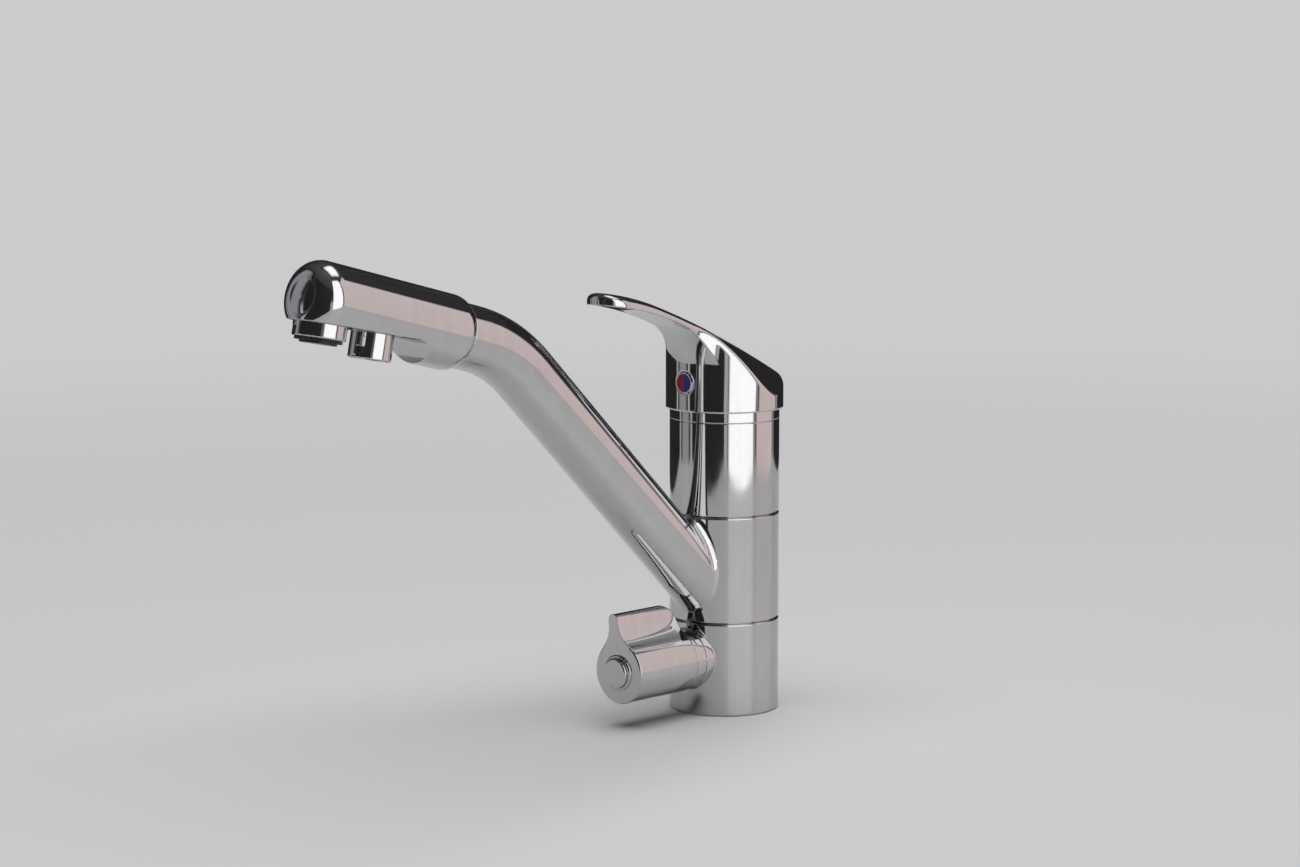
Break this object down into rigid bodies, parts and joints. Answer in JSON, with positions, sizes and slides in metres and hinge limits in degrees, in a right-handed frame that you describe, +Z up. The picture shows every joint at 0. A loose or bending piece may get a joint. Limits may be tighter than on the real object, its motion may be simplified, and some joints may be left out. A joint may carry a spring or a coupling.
{
  "type": "kitchen tap",
  "caption": "Three-in-one kitchen tap with a round column, swivelling spout with two outlets, top mixer lever and a separate winged knob for filtered water.",
  "frame": {"origin": "on the column's axis, in the plane of the foot that stands on the deck", "axes": "+Z up along the column; -Y towards the user, the way the spout, lever and knob point; +X to the tap's right as the user sees it"},
  "size_m": [0.0509, 0.2656, 0.21],
  "materials": {
    "polished_chrome": "polished chrome plate on brass",
    "plain_brass": "turned brass, unplated",
    "seal_rubber": "black sealing rubber",
    "inner_plastic": "pale moulded plastic",
    "disc_ceramic": "lapped ceramic",
    "screw_steel": "stainless steel",
    "hose_plastic": "smooth drinking-water tube",
    "insert_plastic": "dark moulded insert",
    "badge_enamel": "red and blue enamel in a bright rim"
  },
  "bodies": {
    "tap_body": {"base_body": "polished_chrome", "base_seal": "seal_rubber", "lower_slide_ring": "inner_plastic", "upper_slide_ring": "inner_plastic", "core_ring_low": "seal_rubber", "core_ring_middle": "seal_rubber", "core_ring_high": "seal_rubber", "upper_body": "polished_chrome", "cartridge_housing": "inner_plastic", "cartridge_seal": "seal_rubber", "fixed_disc": "disc_ceramic", "cartridge_nut": "plain_brass", "cover_ring": "polished_chrome", "valve_seal": "seal_rubber", "valve_fixed_disc": "disc_ceramic", "valve_bonnet": "polished_chrome"},
    "spout_body": {"spout": "polished_chrome", "filter_hose": "hose_plastic", "spout_head": "polished_chrome", "aerator_housing": "polished_chrome", "aerator_insert": "insert_plastic", "aerator_washer": "seal_rubber", "filter_nozzle": "polished_chrome", "nozzle_insert": "insert_plastic"},
    "rotor_body": {"cartridge_rotor": "inner_plastic", "rotor_pin": "screw_steel"},
    "lever_body": {"lever": "polished_chrome", "lever_stem": "screw_steel", "grub_screw": "screw_steel", "badge": "badge_enamel"},
    "disc_body": {"moving_disc": "disc_ceramic"},
    "knob_body": {"filter_knob": "polished_chrome", "valve_turning_disc": "disc_ceramic", "valve_spindle": "plain_brass", "knob_screw": "screw_steel", "knob_button": "polished_chrome", "button_ring": "polished_chrome"}
  },
  "joints": [
    {"name": "spout_swivel", "type": "hinge", "parent": "tap_body", "child": "spout_body", "pos_m": [0, 0, 0.0636], "axis": [0, 0, 1], "continuous": true},
    {"name": "lever_turn", "type": "hinge", "parent": "tap_body", "child": "rotor_body", "pos_m": [0, 0, 0.124], "axis": [0, 0, 1], "range_deg": [-50, 50]},
    {"name": "lever_tilt", "type": "hinge", "parent": "rotor_body", "child": "lever_body", "pos_m": [0, 0, 0.124], "axis": [-1, 0, 0], "range_deg": [0, 20]},
    {"name": "disc_slide", "type": "slide", "parent": "rotor_body", "child": "disc_body", "axis": [0, -1, 0], "range_m": [0, 0.00545]},
    {"name": "filter_turn", "type": "hinge", "parent": "tap_body", "child": "knob_body", "pos_m": [0, -0.048, 0.0243], "axis": [0, -1, 0], "range_deg": [-7.5, 82.5]}
  ],
  "couplings": [
    {"joint": "disc_slide", "follows": "lever_tilt", "m_per_rad": 0.0156}
  ]
}
